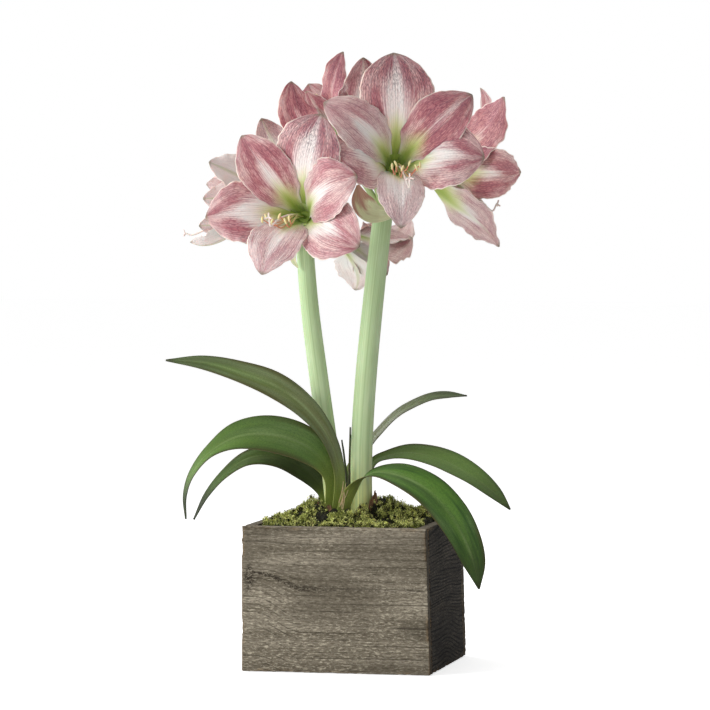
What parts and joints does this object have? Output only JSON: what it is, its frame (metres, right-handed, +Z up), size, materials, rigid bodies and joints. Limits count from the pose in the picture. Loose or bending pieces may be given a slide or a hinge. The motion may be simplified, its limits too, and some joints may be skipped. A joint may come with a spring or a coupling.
{
  "type": "potted amaryllis",
  "caption": "Amaryllis in bloom in a square weathered-wood planter box, with moss over the soil, arching strap leaves and pink-and-white trumpet flowers on tall leafless stems.",
  "frame": {"origin": "centre of the square underside of the planter box", "axes": "+Z up; X and Y along the sides of the box; -Y is the wide front board, towards which the two largest blooms face"},
  "size_m": [0.3784, 0.297, 0.6478],
  "materials": {
    "box_wood": "weathered, wire-brushed softwood, matt, unvarnished",
    "soil": "dry peaty potting soil, matt",
    "moss": "living cushion moss, matt, clumpy",
    "bulb_tunic": "dry papery brown tunic scales, matt",
    "leaf_green": "smooth waxy strap leaf, half gloss",
    "leaf_bronze": "smooth waxy strap leaf flushed bronze, half gloss",
    "flower_stem": "smooth pale green hollow-stemmed scape with a light bloom",
    "bract": "papery withered spathe, matt",
    "petal": "soft satin petal, rose pink with a white band and a green throat",
    "stamen": "pale pink filaments with cream-yellow pollen, matt"
  },
  "bodies": {
    "root": {"board_front": "box_wood", "board_back": "box_wood", "board_left": "box_wood", "board_right": "box_wood", "board_bottom": "box_wood", "soil": "soil", "moss": "moss", "bulb": "bulb_tunic", "leaf_upper_left": "leaf_bronze", "leaf_mid_left": "leaf_green", "leaf_low_left": "leaf_green", "leaf_front_right": "leaf_green", "leaf_mid_right": "leaf_green", "leaf_upper_right": "leaf_bronze", "young_leaf_tall": "leaf_green", "young_leaf_short": "leaf_green", "scape_left": "flower_stem", "scape_right": "flower_stem", "spathe_left": "bract", "spathe_right": "bract", "bloom_front_left": "petal", "bloom_front_right": "petal", "bloom_left": "petal", "bloom_right_low": "petal", "bloom_right": "petal", "bloom_back_right": "petal", "bloom_up_left": "petal", "bloom_back_left": "petal", "stamens_front_left": "stamen", "stamens_front_right": "stamen", "stamens_left": "stamen", "stamens_right_low": "stamen", "stamens_right": "stamen", "stamens_back_right": "stamen", "stamens_up_left": "stamen", "stamens_back_left": "stamen"}
  },
  "joints": []
}
